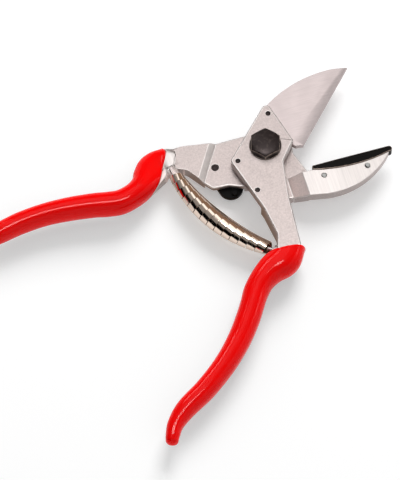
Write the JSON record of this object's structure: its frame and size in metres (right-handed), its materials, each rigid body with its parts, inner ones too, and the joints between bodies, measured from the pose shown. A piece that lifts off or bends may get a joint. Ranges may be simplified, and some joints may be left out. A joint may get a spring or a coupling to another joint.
{
  "type": "pruning shears",
  "caption": "Opened anvil pruning shears: forged handles with dipped grips, straight blade closing on an anvil strip, strip spring between the handles and a rear thumb catch.",
  "frame": {"origin": "on the pivot axis, at the rear face of the pivot bolt and nut, the plane the shears lie on", "axes": "+Z points along the pivot out of the front of the shears, +X along the anvil strip's working line towards the jaw tip, +Y from the anvil towards the blade"},
  "size_m": [0.2017, 0.1562, 0.019],
  "materials": {
    "forged_aluminium": "satin blasted forging",
    "red_vinyl": "glossy dipped vinyl",
    "black_strip": "black strip, worn edge",
    "rivet_steel": "ground flush",
    "black_steel": "black oxide",
    "zinc_steel": "zinc plated",
    "plated_spring": "polished nickel plate",
    "blade_steel": "fine ground"
  },
  "bodies": {
    "anvil_half": {"anvil_frame": "forged_aluminium", "anvil_grip": "red_vinyl", "anvil_strip": "black_strip", "anvil_rivets": "rivet_steel", "pivot_bolt": "black_steel", "head_washer": "black_steel", "pivot_nut": "zinc_steel", "lock_segment": "zinc_steel", "segment_screw": "zinc_steel", "catch_screw": "black_steel", "catch_washer": "zinc_steel", "volute_spring": "plated_spring"},
    "blade_half": {"blade_frame": "forged_aluminium", "blade_grip": "red_vinyl", "blade": "blade_steel", "blade_pins": "black_steel"},
    "catch": {"thumb_catch": "black_steel"}
  },
  "joints": [
    {"name": "blade_pivot", "type": "hinge", "parent": "anvil_half", "child": "blade_half", "pos_m": [0, 0, 0.009], "axis": [0, 0, -1], "range_deg": [0, 46], "stiffness_Nm_per_rad": 0.75, "springref_deg": -28.65, "deforming": ["volute_spring"]},
    {"name": "catch_pivot", "type": "hinge", "parent": "anvil_half", "child": "catch", "pos_m": [-0.0237, -0.00045, 0.0032], "axis": [0, 0, -1], "range_deg": [0, 32]}
  ]
}
